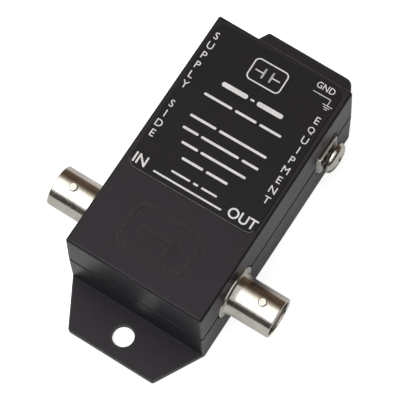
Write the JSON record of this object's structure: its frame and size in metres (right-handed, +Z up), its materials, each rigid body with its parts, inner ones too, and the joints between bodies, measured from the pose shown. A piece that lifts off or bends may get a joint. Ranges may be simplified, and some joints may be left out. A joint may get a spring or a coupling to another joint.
{
  "type": "coax lightning arrestor",
  "caption": "Black moulded surge arrestor box for a coaxial line, with bayonet jacks on opposite walls, a ground screw terminal and flat mounting ears.",
  "frame": {"origin": "centre of the underside, on the surface that the box and its ears stand on", "axes": "+Z up out of the labelled cover, +X towards the OUT jack and the ground screw, +Y along the box from the jacks' end to the ground screw's end"},
  "size_m": [0.0568, 0.083, 0.0278],
  "materials": {
    "black_plastic": "moulded satin black",
    "label_print": "black film with white print",
    "nickel_plate": "bright nickel plate on turned metal",
    "white_insulator": "smooth off-white",
    "gilt_contact": "thin gilt plate",
    "zinc_steel": "zinc plated steel",
    "tinned_metal": "dull tin plate",
    "board_laminate": "green solder mask",
    "ceramic": "unglazed ceramic",
    "diode_epoxy": "moulded epoxy",
    "capacitor_case": "moulded case",
    "resistor_coat": "lacquer coat",
    "coil_coat": "lacquer coat"
  },
  "bodies": {
    "housing": {"base_housing": "black_plastic", "top_cover": "black_plastic", "label": "label_print", "in_jack_shell": "nickel_plate", "in_jack_insulator": "white_insulator", "in_jack_contact": "gilt_contact", "out_jack_shell": "nickel_plate", "out_jack_insulator": "white_insulator", "out_jack_contact": "gilt_contact", "ground_bracket": "tinned_metal", "circuit_board": "board_laminate", "gas_tube_barrel": "ceramic", "gas_tube_electrode_in": "tinned_metal", "gas_tube_electrode_out": "tinned_metal", "clamp_diode_in": "diode_epoxy", "clamp_diode_out": "diode_epoxy", "capacitor": "capacitor_case", "resistor": "resistor_coat", "choke_coil": "coil_coat", "housing_screw_1": "zinc_steel", "housing_screw_2": "zinc_steel", "housing_screw_3": "zinc_steel", "housing_screw_4": "zinc_steel"},
    "ground_clamp": {"ground_clamp": "zinc_steel"},
    "ground_screw": {"ground_screw": "zinc_steel"}
  },
  "joints": [
    {"name": "clamp_travel", "type": "slide", "parent": "housing", "child": "ground_clamp", "axis": [1, 0, 0], "range_m": [0, 0.00198]},
    {"name": "screw_turn", "type": "hinge", "parent": "ground_clamp", "child": "ground_screw", "pos_m": [0.01725, 0.0199, 0.01375], "axis": [1, 0, 0], "range_deg": [0, 900]}
  ],
  "couplings": [
    {"joint": "screw_turn", "follows": "clamp_travel", "rad_per_m": 7915.8}
  ]
}
